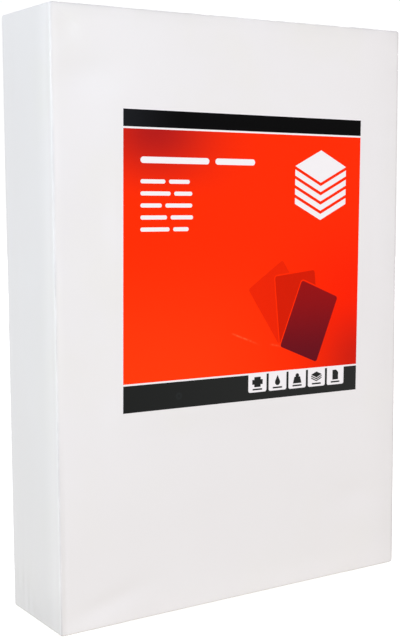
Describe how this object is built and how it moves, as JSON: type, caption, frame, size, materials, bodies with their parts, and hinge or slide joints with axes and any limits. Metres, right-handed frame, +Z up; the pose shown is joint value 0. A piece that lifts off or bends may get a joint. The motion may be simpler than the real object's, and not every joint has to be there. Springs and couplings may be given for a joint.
{
  "type": "ream of paper",
  "caption": "Sealed pack of office paper in a white wrapper with folded ends, a glued back seam and a square printed label on the front, standing on a short end.",
  "frame": {"origin": "centre of the pack's lower end, on the surface that it stands on", "axes": "+Z up along the sheets' long side, +Y from the labelled front to the back with the glued seam, +X to the right as seen from the front"},
  "size_m": [0.2102, 0.0541, 0.298],
  "materials": {
    "wrapper": "satin",
    "label_stock": "satin",
    "red_ink": "satin",
    "black_ink": "satin",
    "maroon_ink": "satin",
    "middle_red_ink": "satin",
    "soft_red_ink": "satin"
  },
  "bodies": {
    "root": {"wrapped_ream": "wrapper", "front_label": "label_stock", "label_red_print": "red_ink", "label_black_print": "black_ink", "label_fan_dark_print": "maroon_ink", "label_fan_middle_print": "middle_red_ink", "label_fan_light_print": "soft_red_ink"}
  },
  "joints": []
}
